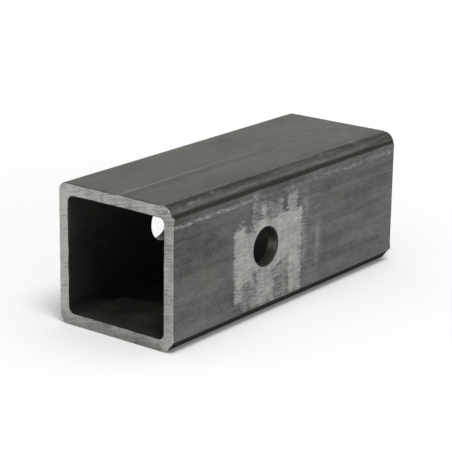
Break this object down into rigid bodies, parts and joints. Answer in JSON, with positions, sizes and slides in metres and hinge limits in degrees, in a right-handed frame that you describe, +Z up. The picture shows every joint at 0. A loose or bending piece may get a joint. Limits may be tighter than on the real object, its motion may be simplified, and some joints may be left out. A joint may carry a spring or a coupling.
{
  "type": "hitch reducer sleeve",
  "caption": "Bare steel square tube sleeve, cross-drilled for a hitch pin, that lets a smaller square shank fit a larger trailer hitch receiver.",
  "frame": {"origin": "where the axis of the pin hole crosses the centreline of the tube", "axes": "+X along the pin hole, +Y along the tube away from its mouth (the end nearer to the pin hole), +Z up"},
  "size_m": [0.0636, 0.1651, 0.0636],
  "materials": {
    "mill_steel": "bare mill finish, sawn ends, linished round the pin hole"
  },
  "bodies": {
    "root": {"reducer_sleeve": "mill_steel"}
  },
  "joints": []
}
